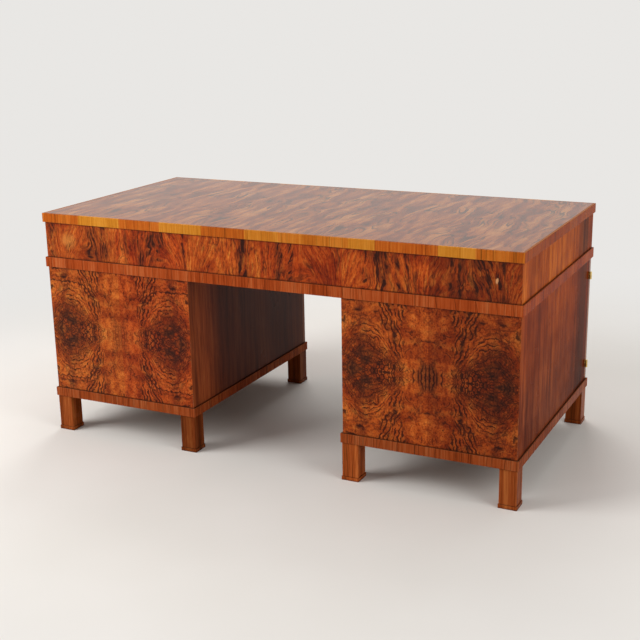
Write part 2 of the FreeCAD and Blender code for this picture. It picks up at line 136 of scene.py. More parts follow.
# %% Nodes
def add(tree, kind, inputs=(), give=0, stops=(), **settings):
    """Add a node, set it up, and give each input a value or a link. Return one of its outputs."""
    kind, _, operation = kind.partition(" ")
    made = tree.nodes.new("ShaderNode" + kind)
    if operation:
        made.operation = operation
    for name, value in settings.items():
        setattr(made, name, value)
    for place, _ in stops[2:]:
        made.color_ramp.elements.new(place)
    for number, (place, colour) in enumerate(stops):
        shade = linear(colour) if type(colour) is str else (colour,) * 3 + (1.0,)
        made.color_ramp.elements[number].position = place
        made.color_ramp.elements[number].color = shade
    for name, value in inputs.items() if type(inputs) is dict else enumerate(inputs):
        if isinstance(value, bpy.types.NodeSocket):
            tree.links.new(value, made.inputs[name])
        else:
            made.inputs[name].default_value = linear(value) if type(value) is str else value
    return made.outputs[give] if len(made.outputs) else made


smooth = {"interpolation_type": "SMOOTHSTEP"}
blended = {"give": 2, "data_type": "RGBA"}
tinted = {"give": 2, "data_type": "RGBA", "blend_type": "MULTIPLY"}
print("Named settings: smooth, blended, tinted")

# %% [markdown]
# # The room's light
# The rest of the light comes from all round, from the world. What the camera sees of it, also in
# the polish, is a pale background, and what lights the desk is weaker. Two worlds can't be had at
# once, but the Light Path node tells the rays apart, so that one world does both.

# %% Rays that show the background
def shown(tree):
    """1 for rays that look, also in polish or through glass, and 0 for rays that only light."""
    kinds = ("Camera", "Glossy", "Transmission")
    rays = [add(tree, "LightPath", give="Is " + kind + " Ray") for kind in kinds]
    return add(tree, "Math MAXIMUM", (add(tree, "Math MAXIMUM", rays[:2]), rays[2]))


background = "FAF8F5"
background_strength = 0.85
light_strength = 0.38

room = bpy.data.worlds.new("room")
bpy.context.scene.world = room
room.use_nodes = True
tree = room.node_tree
tree.nodes.clear()
strength = add(tree, "MapRange", (shown(tree), 0.0, 1.0, light_strength, background_strength))
add(tree, "OutputWorld", (add(tree, "Background", (background, strength)),))
bpy.context.scene.view_settings.view_transform = "Standard"
print("The background has strength", background_strength, "and the light", light_strength)

# %% [markdown]
# # Floor paint
# Matt paint, rolled on: it scatters light evenly and has faint clouds where the roller went twice.
# It takes the desk's shadow near the desk. Far out it could end in a horizon line, so there it
# turns into the background's own colour, slowly enough that no border shows.

# %% Start of a finish
def new_finish(name):
    """An empty material: the material, its tree, and the place on the desk in millimetres."""
    material = bpy.data.materials.new(name)
    material.use_nodes = True
    tree = material.node_tree
    tree.nodes.clear()
    metres = add(tree, "TexCoord", give="Object")
    return material, tree, add(tree, "VectorMath SCALE", {0: metres, "Scale": 1000.0})


cloud_size = 800

paint, tree, mm = new_finish("matt_studio_paint")
clouds = add(tree, "TexNoise", {"Vector": mm, "Scale": 1 / cloud_size, "Detail": 3.0})
colour = add(tree, "ValToRGB", (clouds,), stops=[(0.3, "DEDAD4"), (0.7, "E4E0DB")])
painted = add(tree, "BsdfPrincipled", {
    "Base Color": colour, "Roughness": 0.9, "Specular IOR Level": 0.1})
print("Made", paint.name, "with clouds", cloud_size, "millimetres wide")

# %% Floor that fades out
fade_start = 1000.0
fade_end = 2700.0

far = add(tree, "VectorMath LENGTH", (mm,), "Value")
far = add(tree, "MapRange", (far, fade_start, fade_end), **smooth)
far = add(tree, "Math MULTIPLY", (far, shown(tree)))
haze = add(tree, "Emission", (background, background_strength))
add(tree, "OutputMaterial", (add(tree, "MixShader", (far, painted, haze)),))
floor.data.materials.append(paint)
print("The floor fades from", fade_start, "to", fade_end, "millimetres out")

# %% [markdown]
# # What all the woods share
# Wood is drawn by four things. Grain drifts, because a tree bends round its branches: the place
# that a pattern is read at is pushed aside by soft noise before the pattern is made. Features come
# and go in patches. Growth lines are sharp and dark on the side where the year ended and fade on
# the other. Fibres are long and thin. Image textures of veneer could give all this, but they repeat
# and blur close up. Noise in millimetres doesn't.

# %% Drift and patches
def drifted(tree, place, *swells):
    """The place pushed aside in swells, each of a size, a reach from side to side and a detail."""
    for size, reach, detail in swells:
        swell = add(
            tree, "TexNoise", {"Vector": place, "Scale": 1 / size, "Detail": detail}, "Color")
        swell = add(tree, "VectorMath SUBTRACT", (swell, (0.5, 0.5, 0.5)))
        push = add(tree, "VectorMath SCALE", {0: swell, "Scale": reach})
        place = add(tree, "VectorMath ADD", (place, push))
    return place


def patches(tree, place, size, low, high, detail=2.0):
    """A share in soft patches of this size: 0 where the noise is low and 1 where it is high."""
    cloud = add(tree, "TexNoise", {"Vector": place, "Scale": 1 / size, "Detail": detail})
    return add(tree, "MapRange", (cloud, low, high), **smooth)


def patchy(tree, share, *cloud):
    """A share that comes and goes in patches."""
    return add(tree, "Math MULTIPLY", (share, patches(tree, *cloud)))


print("Grain can drift and fade")

# %% Growth lines and fibres
fine_line = [(0.0, 0.95), (0.14, 1.0), (0.24, 0.5), (0.45, 0.12), (0.92, 0.0), (1.0, 0.6)]
bold_line = [(0.0, 0.95), (0.2, 1.0), (0.38, 0.8), (0.52, 0.15), (0.93, 0.0), (1.0, 0.5)]
pore_brown = "8A5038"


def growth_lines(tree, field, count, strength, line=fine_line):
    """Dark lines, count of them for each 1 of the field: sharp on one side, fading on the other."""
    steps = add(tree, "Math FRACT", (add(tree, "Math MULTIPLY", (field, count)),))
    return add(tree, "Math MULTIPLY", (add(tree, "ValToRGB", (steps,), stops=line), strength))


def fibres(tree, place, width, length, detail=3.0):
    """Noise drawn out along the upright grain: fibres of this width and length."""
    place = add(tree, "VectorMath MULTIPLY", (place, (1, 1, width / length)))
    return add(tree, "TexNoise", {
        "Vector": place, "Scale": 1 / width, "Detail": detail, "Roughness": 0.6})


def peppered(tree, wood, place, size, share):
    """Wood darkened by pores and pips of this size, up to this share."""
    pips = add(tree, "TexNoise", {
        "Vector": place, "Scale": 1 / size, "Detail": 2.0, "Roughness": 0.7})
    pips = add(tree, "MapRange", (pips, 0.46, 0.64, 0.0, share), **smooth)
    return add(tree, "Mix", {0: pips, 6: wood, 7: pore_brown}, **tinted)


print("A growth line has", len(fine_line), "stops from dark to clear")

# %% Places on a leaf of veneer
def apart(tree, value, middle):
    """How far a value is from a middle, on either side."""
    return add(tree, "Math ABSOLUTE", (add(tree, "Math SUBTRACT", (value, middle)),))


def oval(tree, place, middle, half_width, half_height):
    """The distance from the middle of an oval, which is 1 on its outline."""
    place = add(tree, "VectorMath SUBTRACT", (place, (middle, 0, 0)))
    place = add(tree, "VectorMath MULTIPLY", (place, (1 / half_width, 0, 1 / half_height)))
    return add(tree, "VectorMath LENGTH", (place,), "Value")


def squarish(tree, power, *sides):
    """The same for a squarer outline: each side has a distance, half a size and a bulge."""
    total = 0.0
    for distance, half_size, bulge in sides:
        side = add(tree, "Math POWER", (add(tree, "Math DIVIDE", (distance, half_size)), bulge))
        total = add(tree, "Math ADD", (total, side))
    return add(tree, "Math POWER", (total, power))


def where(tree, *fades):
    """A share from 0 to 1, and 1 only where each value lies past its fade from start to end."""
    share = 1.0
    for value, start, end in fades:
        past = add(tree, "MapRange", (value, start, end), **smooth)
        share = add(tree, "Math MULTIPLY", (share, past))
    return share


def strongest(tree, *shares):
    """The largest of several shares."""
    most = shares[0]
    for share in shares[1:]:
        most = add(tree, "Math MAXIMUM", (most, share))
    return most


print("Ovals and borders can be drawn on a leaf")

# %% [markdown]
# # Lacquer
# The desk is lacquered and polished to a gloss. A second clear layer could be laid over the wood,
# but on a face seen at a slant it shows a pale veil that the photograph hasn't got. One layer with
# a low specular level keeps the wood deep. Its roughness wanders a little, as hand polish does, the
# fibres stand up under it by a hair, and the arrises are rubbed down to paler wood, in patches,
# where hands and cloths have gone. In the corners where two boards meet, shade is painted in as a
# thin dark line.

# %% Lacquer over wood
# Lengths are in metres here. At a rounded edge the face turns: 1 is not at all, 0 a right angle.
edge_rounding = 0.0015
barely_turned = 0.995
well_turned = 0.85
rubbed_patch = 0.045
rubbed_wood = "C98A5A"
# Painted shade: within this reach of a corner, ambient occlusion darkens the wood towards a dark
# brown.
corner_reach = 0.007
corner_painted_shade = "24110A"
smear_size = 0.2
fibre_relief = 0.0004


def polish(tree, wood, grain, roughness, shine, corner_shade=0.8):
    """Lacquer over a wood colour: rubbed edges, painted shade in corners, uneven gloss, and grain
    as relief.
    """
    metres = add(tree, "TexCoord", give="Object")
    rounded = add(tree, "Bevel", (edge_rounding,), samples=4)
    flat = add(tree, "NewGeometry", give="Normal")
    turned_away = add(tree, "VectorMath DOT_PRODUCT", (rounded, flat), "Value")
    edge = add(tree, "MapRange", (turned_away, barely_turned, well_turned, 0.0, 0.5))
    edge = patchy(tree, edge, metres, rubbed_patch, 0.35, 0.7)
    wood = add(tree, "Mix", {0: edge, 6: wood, 7: rubbed_wood}, **blended)
    # Painted shade in corners and between parts, drawn from ambient occlusion.
    if corner_shade:
        corner = add(tree, "AmbientOcclusion", {"Distance": corner_reach}, "AO", samples=12)
        corner = add(tree, "MapRange", (corner, 0.9, 0.5, 0.0, corner_shade))
        wood = add(tree, "Mix", {0: corner, 6: wood, 7: corner_painted_shade}, **blended)
    smears = add(tree, "TexNoise", {"Vector": metres, "Scale": 1 / smear_size, "Detail": 4.0})
    smears = add(tree, "MapRange", (smears, 0.2, 0.8, roughness * 0.7, roughness * 1.4))
    relief = add(tree, "Bump", {"Strength": 0.35, "Distance": fibre_relief, "Height": grain})
    add(tree, "OutputMaterial", (add(tree, "BsdfPrincipled", {
        "Base Color": wood, "Roughness": smears, "Specular IOR Level": shine, "Normal": relief}),))


# How far the painted corner shade reaches out of a corner.
print("Wax reaches", corner_reach * 1000, "millimetres out of a corner")

# %% [markdown]
# # Straight-grained walnut
# Walnut sawn along the trunk: the legs and rails are solid, and the pedestals' sides and the
# kneehole are veneered with it. Its pores are dashes about 0.3 mm wide, too fine to show from this
# far, so the fibres are drawn 2.5 mm wide, with broader bands of tone between them. A wave texture
# could draw such stripes, but it looks ruled; noise drawn out along the grain doesn't.

# %% Straight grain
fibre_width = 2.5
fibre_length = 160
fibre_share = 0.45
band_width = 22


def straight_grain(tree, mm, dark, middle, light, band_length=1500):
    """Straight-grained wood with upright fibres: its colour, and its grain from dark to light."""
    grown = drifted(tree, mm, (300, 26, 2))
    fine = add(tree, "Math MULTIPLY", (fibres(tree, grown, fibre_width, fibre_length), fibre_share))
    bands = fibres(tree, grown, band_width, band_length, 2.0)
    grain = add(tree, "Math MULTIPLY_ADD", (bands, 1 - fibre_share, fine))
    wood = add(tree, "ValToRGB", (grain,), stops=[(0.36, dark), (0.5, middle), (0.64, light)])
    return wood, grain


def toned(tree, wood, value, low, high, stops, steps="LINEAR"):
    """The wood tinted by its place between two ends: for planks and leaves that differ in tone, and
    for painted shade.
    """
    tint = add(tree, "ValToRGB", (add(tree, "MapRange", (value, low, high)),), stops=stops)
    tint.node.color_ramp.interpolation = steps
    return add(tree, "Mix", {0: 1.0, 6: wood, 7: tint}, **tinted)


print("Fibres are", fibre_width, "millimetres wide and bands of tone", band_width)

# %% Walnut of the legs
desk_half_length = 842.0
# Each leg's tone is partly its plank's and partly painted shade: the left pedestal's legs by the
# kneehole are darkest.
leg_tones_and_painted_shade = [(0.0, "DCDCDC"), (0.17, "B4B4B4"), (0.5, "FFFFFF"), (0.83, "E0E0E2")]

plain, tree, mm = new_finish("solid_walnut")
wood, grain = straight_grain(tree, mm, "66300F", "9C481D", "C06C34")
along = add(tree, "SeparateXYZ", (mm,), "X")
wood = toned(tree, wood, along, -desk_half_length, desk_half_length, leg_tones_and_painted_shade, "CONSTANT")
polish(tree, wood, grain, roughness=0.25, shine=0.03)
print("Made", plain.name, "with", len(leg_tones_and_painted_shade), "planks")

# %% Walnut of the pedestals' sides
back_of_band = -434.75
front_of_band = 399.25
leg_height = 126.0
desk_height = 780.0
side_run = [
    (0.0, "FFF0E4"), (0.07, "FFEEE0"), (0.08, "D8C2BA"), (0.25, "E4D0C8"), (0.5, "F8EADC"),
    (0.74, "EAD6CC"), (0.85, "968480"), (0.915, "968480"), (0.927, "C8A89C"), (1.0, "C8A89C")]
side_painted_shade_by_height = [(0.083, "BAB7C0"), (0.66, "DBBE78"), (0.74, "DBBE78"), (0.743, "FFF6A4")]
side_bands = 420

sides, tree, mm = new_finish("straight_walnut_veneer_of_sides")
wood, grain = straight_grain(tree, mm, "84401F", "B96033", "D6824A", side_bands)
bruise = patchy(tree, 0.4, mm, 120, 0.42, 0.62, 3.0)
wood = add(tree, "Mix", {0: bruise, 6: wood, 7: "B08C84"}, **tinted)
along = add(tree, "SeparateXYZ", (mm,), "Y")
wood = toned(tree, wood, along, back_of_band, front_of_band, side_run)
# Painted light and shade: the sides darken towards the bottom and are brightest above the waist, as
# the light falls off downwards.
height = add(tree, "SeparateXYZ", (mm,), "Z")
wood = toned(tree, wood, height, leg_height, desk_height, side_painted_shade_by_height)
polish(tree, wood, grain, roughness=0.25, shine=0.005)
print("Made", sides.name, "with bands", side_bands, "millimetres long")

# %% Walnut of the kneehole
# Painted shade: the kneehole's walnut is darker than the sides', and it grows darker still past the
# first stretch in from the open back.
kneehole_painted_shade_run = [(0.0, "FFFFFF"), (0.12, "FFF6F0"), (0.24, "AEA29E"), (1.0, "948A88")]
kneehole_bands = 600

kneehole, tree, mm = new_finish("straight_walnut_veneer_of_kneehole_painted_shade")
wood, grain = straight_grain(tree, mm, "62290F", "8C421D", "A65A2C", kneehole_bands)
along = add(tree, "SeparateXYZ", (mm,), "Y")
wood = toned(tree, wood, along, back_of_band, front_of_band, kneehole_painted_shade_run)
polish(tree, wood, grain, roughness=0.3, shine=0.05)
print("Made", kneehole.name, "with bands", kneehole_bands, "millimetres long")

# %% [markdown]
# # Burr walnut
# Each pedestal's back shows four leaves of burr walnut cut one after the other from the same block
# and opened like a book, sideways and upwards, so that the figure is mirrored about both joints. A
# burr grows where a tree has tried to sprout for years: rings of dark lines round an eye, knots
# like cells, squiggles between, and gold to red-brown wood. The figure could be painted by hand as
# a texture. Here it is built from named features, each laid where the photograph has it, and the
# place is folded first so that all four leaves match.

# %% Four leaves about two joints
pedestal_middle = 555.0
pedestal_mid_height = 375.5
pedestal_edge = 836.0

burr, tree, mm = new_finish("burr_walnut_veneer")
leaf = add(tree, "VectorMath ABSOLUTE", (add(tree, "VectorMath MULTIPLY", (mm, (1, 0, 1))),))
leaf = add(tree, "VectorMath SUBTRACT", (leaf, (pedestal_middle, 0, pedestal_mid_height)))
leaf = add(tree, "VectorMath ABSOLUTE", (leaf,))
# Each leaf lies a little deeper in the block than the one before, so no two are quite the same.
deeper = add(tree, "VectorMath DOT_PRODUCT", (mm, (0.006, 0, 0.012)), "Value")
leaf = add(tree, "VectorMath ADD", (leaf, add(tree, "CombineXYZ", {"Y": deeper})))
grown = drifted(tree, leaf, (80, 60, 2), (17, 22, 3), (8, 7, 1))
across = add(tree, "SeparateXYZ", (grown,), "X")
up = add(tree, "SeparateXYZ", (grown,), "Z")
print("The leaves meet at", pedestal_middle, "across and", pedestal_mid_height, "up")

# %% The eye
eye_middle = 206.0
eye_half_width = 118.0
eye_half_height = 138.0
# Rings are about 6 mm apart in such a burr. They are drawn 12 mm apart here, or they would blur
# to grey. Outside the eye they lie further apart.
ring_count = 10.0
outer_count = 4.0

from_eye = apart(tree, across, eye_middle)
above = add(tree, "Math ABSOLUTE", (up,))
eye = squarish(tree, 0.6, (from_eye, eye_half_width, 2.2), (above, eye_half_height, 1.3))
ring = where(tree, (eye, 0.55, 0.8), (eye, 1.25, 1.0), (across, 52.0, 84.0))
ring = patchy(tree, ring, leaf, 42, 0.36, 0.52, 3.0)
outer = where(tree, (eye, 1.1, 1.3), (eye, 2.1, 1.8), (across, 80.0, 110.0))
outer = patchy(tree, outer, leaf, 40, 0.44, 0.56)
inside = patchy(tree, where(tree, (eye, 0.95, 0.7)), leaf, 22, 0.30, 0.5)
veins = strongest(
    tree, growth_lines(tree, eye, ring_count, ring), growth_lines(tree, eye, outer_count, outer),
    growth_lines(tree, eye, ring_count + 2.0, inside))
print("An eye is", 2 * eye_half_width, "wide and", 2 * eye_half_height, "millimetres high")

# %% Line that frames the eye
frame_half_width = 116.0
frame_half_height = 168.0
frame_line_count = 9.0

border = squarish(
    tree, 0.25, (from_eye, frame_half_width, 4.0), (above, frame_half_height, 4.0))
framed = where(tree, (border, 0.9, 0.95), (border, 1.16, 1.1), (across, 70.0, 90.0))
framed = patchy(tree, framed, leaf, 44, 0.34, 0.46)
more_left = add(tree, "MapRange", (add(tree, "SeparateXYZ", (mm,), "X"), -300.0, 300.0, 1.0, 0.6))
framed = add(tree, "Math MULTIPLY", (framed, more_left))
veins = strongest(tree, veins, growth_lines(tree, border, frame_line_count, framed))
print("The frame is", 2 * frame_half_height, "millimetres high")

# %% Knots at the eye's tip
knot_size = 13.0

cells = add(tree, "VectorMath MULTIPLY", (drifted(tree, leaf, (12, 12, 2)), (1, 0, 0.75)))
cells = add(
    tree, "TexVoronoi", {"Vector": cells, "Scale": 1 / knot_size}, feature="DISTANCE_TO_EDGE")
cells = add(tree, "MapRange", (cells, 0.16, 0.05), **smooth)
tip = where(tree, (across, 92.0, 112.0), (across, 200.0, 160.0), (up, 62.0, 30.0))
knots = strongest(tree, tip, add(tree, "Math MULTIPLY", (inside, 0.7)))
veins = strongest(tree, veins, add(tree, "Math MULTIPLY", (cells, knots)))
print("Knots are", knot_size, "millimetres wide")

# %% Squiggles between the eyes
squiggle_spacing = 14.0
column_lean = 0.45
stray_count = 9.0

wavy = drifted(tree, leaf, (46, 50, 2), (15, 13, 3))
strokes = add(tree, "VectorMath DOT_PRODUCT", (wavy, (1.0, 0, -0.3)), "Value")
strokes = add(tree, "Math DIVIDE", (strokes, squiggle_spacing))
lean = add(tree, "Math MULTIPLY_ADD", (up, -column_lean, across))
column = where(tree, (up, 44.0, 72.0), (across, 66.0, 84.0), (lean, 92.0, 68.0))
column = patchy(tree, column, leaf, 26, 0.33, 0.46)
slow = add(tree, "TexNoise", {"Vector": grown, "Scale": 1 / 60, "Detail": 3.0})
stray = patchy(tree, 0.8, leaf, 50, 0.42, 0.66)
veins = strongest(
    tree, veins, growth_lines(tree, strokes, 1.0, column, bold_line),
    growth_lines(tree, slow, stray_count, stray))
print("Squiggles are", squiggle_spacing, "millimetres apart")

# %% Heart between the leaves
finger_spacing = 5.6
heart_half_width = 40
heart_half_height = 50

stronger = add(tree, "MapRange", (add(tree, "SeparateXYZ", (mm,), "X"), -500.0, 300.0, 0.45, 1.0))
gentle = drifted(tree, leaf, (34, 22, 2), (12, 6, 2))
heart = oval(tree, gentle, 0, heart_half_width, heart_half_height)
fingers = add(tree, "Math PINGPONG", (add(tree, "SeparateXYZ", (gentle,), "X"), finger_spacing))
fingers = where(tree, (fingers, 2.4, 4.4), (heart, 0.95, 0.7))
brow = oval(tree, grown, 0, 84, 112)
brow = growth_lines(tree, brow, 5.0, where(tree, (brow, 0.82, 0.95), (brow, 1.25, 1.1)))
shell = growth_lines(tree, heart, 2.6, where(tree, (heart, 1.7, 1.2), (heart, 0.7, 0.9)))
shell = patchy(tree, strongest(tree, shell, brow), leaf, 30, 0.36, 0.56)
drawn = add(tree, "Math MULTIPLY", (strongest(tree, shell, fingers), stronger))
flecks = fibres(tree, drifted(tree, leaf, (12, 9, 2)), 5, 16, 1.0)
flecks = add(tree, "MapRange", (flecks, 0.42, 0.34, 0.0, 0.7), **smooth)
flecks = patchy(tree, flecks, leaf, 60, 0.4, 0.6)
veins = strongest(tree, veins, drawn, flecks)
print("The heart's fingers are", 2 * finger_spacing, "millimetres apart")

# %% Smoky wood in the eye and the heart
smoke_middle = 214.0

smoke = where(tree, (oval(tree, grown, smoke_middle, 62, 92), 1.2, 0.3))
smoke = patchy(tree, smoke, leaf, 30, 0.28, 0.56, 3.0)
streak = where(tree, (apart(tree, across, smoke_middle), 34.0, 6.0))
streak = patchy(tree, add(tree, "Math MULTIPLY", (streak, 0.4)), leaf, 40, 0.3, 0.6)
sooty = patchy(tree, tip, leaf, 16, 0.4, 1.2)
shade = add(tree, "Math MULTIPLY", (where(tree, (heart, 1.15, 0.6)), 0.6))
brown = add(tree, "Math MULTIPLY", (where(tree, (oval(tree, grown, 0, 60, 150), 1.0, 0.3)), 0.6))
shade = strongest(tree, shade, patchy(tree, brown, leaf, 38, 0.4, 0.6))
smoke = strongest(tree, smoke, streak, sooty, add(tree, "Math MULTIPLY", (shade, stronger)))
print("The smoke's streak stands", smoke_middle, "millimetres from the joint")

# %% Colours of the burr
burr_golds = [(0.28, "702E0E"), (0.42, "A24816"), (0.53, "BF6122"), (0.72, "D28438")]
# The pips of a burr are 1 to 2 mm wide. They are drawn 6 mm wide, or they would vanish.
pip_size = 6.0
burr_leaves = [(0.0, "FFF8EA"), (0.168, "F6D6CC"), (0.5, "FFF0E6"), (0.832, "DCC6C0")]
burr_red = "A04A2C"
smoke_brown = "3E2114"
line_black = "2A120A"

mottle = add(tree, "TexNoise", {"Vector": grown, "Scale": 1 / 42, "Detail": 6.0, "Roughness": 0.68})
wood = add(tree, "ValToRGB", (mottle,), stops=burr_golds)
red = patchy(tree, 0.5, leaf, 110, 0.40, 0.62)
wood = add(tree, "Mix", {0: red, 6: wood, 7: burr_red}, **tinted)
wood = peppered(tree, wood, leaf, pip_size, 0.55)
wood = add(tree, "Mix", {0: smoke, 6: wood, 7: smoke_brown}, **blended)
veins = add(tree, "Math MULTIPLY", (veins, 0.94))
wood = add(tree, "Mix", {0: veins, 6: wood, 7: line_black}, **blended)
along = add(tree, "SeparateXYZ", (mm,), "X")
wood = toned(tree, wood, along, -pedestal_edge, pedestal_edge, burr_leaves, "CONSTANT")
print("The burr has", len(burr_leaves), "leaf tones")

# %% Veneer on the outside only
face_middle = -17.75
face_reach = 411.0
veneer_depth = 1.4


def faced(tree, mm, veneer):
    """The veneer on a board's outer face, and plain walnut on its edges and its inside."""
    depth = apart(tree, add(tree, "SeparateXYZ", (mm,), "Y"), face_middle)
    outside = add(tree, "Math GREATER_THAN", (depth, face_reach - veneer_depth))
    bare, _ = straight_grain(tree, mm, "54260F", "7C3E1C", "98582C")
    return add(tree, "Mix", {0: outside, 6: bare, 7: veneer}, **blended)


polish(tree, faced(tree, mm, wood), mottle, roughness=0.22, shine=0.1)
print("Made", burr.name, "with", len(tree.nodes), "nodes")

# %% [markdown]
# # Flame walnut
# The frieze is faced with six leaves cut where branches left the trunk. Its wood is red-gold with
# dark flames that stand upright, gather in clusters and lean this way and that. One noise could
# scatter the clusters, but the photograph shows where each is, so their places are listed, and the
# noise only shapes their strokes.

# %% Where the flames stand
# Each cluster has a middle, a half width and a strength.
flame_places = (
    (-808, 13, 0.75), (-645, 26, 0.75), (-597, 20, 0.7), (-508, 12, 0.35), (-447, 13, 0.8),
    (-402, 24, 1.0), (-367, 13, 0.7), (-284, 7, 0.5), (-66, 15, 0.9), (62, 13, 0.95),
    (103, 13, 0.6), (352, 24, 0.5), (408, 28, 1.0), (455, 13, 0.8), (490, 13, 0.5),
    (628, 14, 0.55), (655, 13, 0.8), (703, 26, 1.0), (739, 13, 0.75), (772, 17, 0.6),
)

flame, tree, mm = new_finish("flame_walnut_veneer")
across = add(tree, "SeparateXYZ", (drifted(tree, mm, (60, 30, 2)),), "X")
dark = 0.0
for middle, spread, strength in flame_places:
    cluster = (apart(tree, across, middle), spread * 1.6, 0.0, 0.0, strength)
    dark = strongest(tree, dark, add(tree, "MapRange", cluster, **smooth))
print("The frieze has", len(flame_places), "dark places")

# %% How the flames lean
frieze_top = 725.0
steepest = 0.6
tilt_size = 130

run = add(tree, "SeparateXYZ", (mm,), "X")
tilt = add(tree, "CombineXYZ", (run,))
tilt = add(tree, "TexNoise", {"Vector": tilt, "Scale": 1 / tilt_size, "Detail": 0.0})
tilt = add(tree, "MapRange", (tilt, 0.3, 0.7, -steepest, steepest))
height = add(tree, "SeparateXYZ", (mm,), "Z")
lean = add(tree, "Math MULTIPLY", (tilt, add(tree, "Math SUBTRACT", (height, frieze_top))))
leaned = add(tree, "VectorMath ADD", (mm, add(tree, "CombineXYZ", (lean,))))
swayed = drifted(tree, leaned, (130, 40, 2), (30, 11, 3))
print("Flames lean by up to", steepest, "across for each 1 up")

# %% Strokes and smoulder
stroke_width = 7
hair_width = 3.2

strokes = fibres(tree, swayed, stroke_width, 84, 2.0)
strokes = where(tree, (strokes, 0.52, 0.42), (dark, 0.1, 0.55))
strokes = patchy(tree, strokes, mm, 46, 0.30, 0.46)
veins = fibres(tree, swayed, 30, 180, 2.0)
veins = growth_lines(tree, veins, 6.0, patches(tree, mm, 50, 0.42, 0.6))
hairs = fibres(tree, swayed, hair_width, 80, 2.0)
hairs = add(tree, "MapRange", (hairs, 0.48, 0.37, 0.0, 0.6), **smooth)
hairs = patchy(tree, hairs, mm, 44, 0.32, 0.56)
veins = strongest(tree, add(tree, "Math MULTIPLY", (veins, 0.75)), strokes, hairs)
smoulder = patchy(tree, dark, swayed, 34, 0.3, 0.6)
print("Strokes are drawn", stroke_width, "millimetres wide, and hairs between them", hair_width)

# %% Colours of the flame
flame_golds = [(0.30, "8E3C11"), (0.44, "B34F1A"), (0.56, "C56422"), (0.72, "D4883A")]
flame_leaves = [
    (0.0, "F2EAE0"), (0.168, "F4D0C0"), (0.334, "FFF6E6"), (0.5, "EAC8BA"), (0.665, "FAE2D2"),
    (0.832, "D2BCBA")]
flame_red = "A85A3C"
frieze_mid_height = 690

mottle = fibres(tree, swayed, 9, 90, 4.0)
wood = add(tree, "ValToRGB", (mottle,), stops=flame_golds)
bruise = patchy(tree, 0.6, mm, 90, 0.45, 0.65)
wood = add(tree, "Mix", {0: bruise, 6: wood, 7: flame_red}, **tinted)
wood = peppered(tree, wood, add(tree, "VectorMath MULTIPLY", (mm, (1, 0, 0.4))), pip_size, 0.5)
wood = toned(tree, wood, run, -pedestal_edge, pedestal_edge, flame_leaves, "CONSTANT")
spots = drifted(tree, mm, (24, 16, 2))
spots = add(tree, "VectorMath SUBTRACT", (spots, (0, 0, frieze_mid_height)))
glow = where(tree, (oval(tree, spots, -742, 44, 36), 1.0, 0.2))
# Only the leaf on the desk's back has the pale knot.
on_back = (add(tree, "SeparateXYZ", (mm,), "Y"), 0.0, -1.0)
knot = where(tree, (oval(tree, spots, 761, 6, 11), 1.0, 0.5), on_back)
for mark, strength, colour in (
    (glow, 0.45, "D08A40"), (smoulder, 0.7, "4C2210"), (veins, 0.93, "27100A"),
    (knot, 1.0, "C88E60"),
):
    share = add(tree, "Math MULTIPLY", (mark, strength))
    wood = add(tree, "Mix", {0: share, 6: wood, 7: colour}, **blended)
polish(tree, faced(tree, mm, wood), mottle, roughness=0.22, shine=0.1)
print("Made", flame.name, "with", len(tree.nodes), "nodes")

# %% [markdown]
# # Cross-banded walnut
# Round the top, the waist and the plinth the veneer is laid across the edge, in short leaves side
# by side, so its fibres stand upright and each leaf has a tone of its own. Separate strips could be
# modelled for the leaves, but they lie flush, so only colour parts them. The place along the edge
# is cut into cells of uneven width, and each cell draws its tone. The veneer's pores are too fine
# to show, so the fibres are 1.8 mm wide.

# %% Leaves laid across an edge
band_shadow = "3A180C"
ledge_painted_shade = "5A3420"
pore_width = 1.8
seam_width = 1.4
tone_share = 0.13


def cross_banded(name, leaf_width, stops, seam_strength):
    """A cross-banded finish: material, tree, place, wood, grain, run along the edge, and ends."""
    material, tree, mm = new_finish(name)
    normal = add(tree, "TexCoord", give="Normal")
    sideways = add(tree, "SeparateXYZ", (add(tree, "VectorMath ABSOLUTE", (normal,)),), "X")
    on_end = add(tree, "Math GREATER_THAN", (sideways, 0.6))
    x, y, z = (add(tree, "SeparateXYZ", (mm,), axis) for axis in "XYZ")
    run = add(tree, "Mix", {0: on_end, 2: x, 3: y})
    strip = add(tree, "CombineXYZ", (run, on_end, z))
    wander = add(tree, "TexNoise", {"Vector": strip, "Scale": 1 / 240, "Detail": 1.0})
    leaves = add(tree, "Math DIVIDE", (run, leaf_width))
    leaves = add(tree, "Math MULTIPLY_ADD", (wander, 1.6, leaves))
    number = add(tree, "Math FLOOR", (leaves,))
    tone = add(tree, "TexWhiteNoise", {"W": number}, noise_dimensions="1D")
    pores = fibres(tree, strip, pore_width, 70)
    grain = add(tree, "Math ADD", (pores, fibres(tree, strip, 6, 400, 2.0)))
    grain = add(tree, "Math MULTIPLY_ADD", (grain, 0.5, -tone_share / 2))
    grain = add(tree, "Math MULTIPLY_ADD", (tone, tone_share, grain))
    wood = add(tree, "ValToRGB", (grain,), stops=stops)
    seam = add(tree, "Math PINGPONG", (leaves, 0.5))
    seam = add(tree, "MapRange", (seam, 0.0, seam_width / leaf_width, seam_strength, 0.0))
    dark_line = fibres(tree, strip, 3.2, 600, 1.0)
    dark_line = add(tree, "MapRange", (dark_line, 0.42, 0.30, 0.0, 0.85), **smooth)
    shadow = strongest(tree, seam, dark_line)
    wood = add(tree, "Mix", {0: shadow, 6: wood, 7: band_shadow}, **blended)
    # Painted shade: faces that look up, the ledges on top of the bands, are darkened to the dark
    # line that shade draws along them.
    ledge_shade = add(tree, "MapRange", (add(tree, "SeparateXYZ", (normal,), "Z"), 0.6, 0.95, 0.0, 0.6))
    wood = add(tree, "Mix", {0: ledge_shade, 6: wood, 7: ledge_painted_shade}, **blended)
    return material, tree, mm, wood, grain, run, on_end


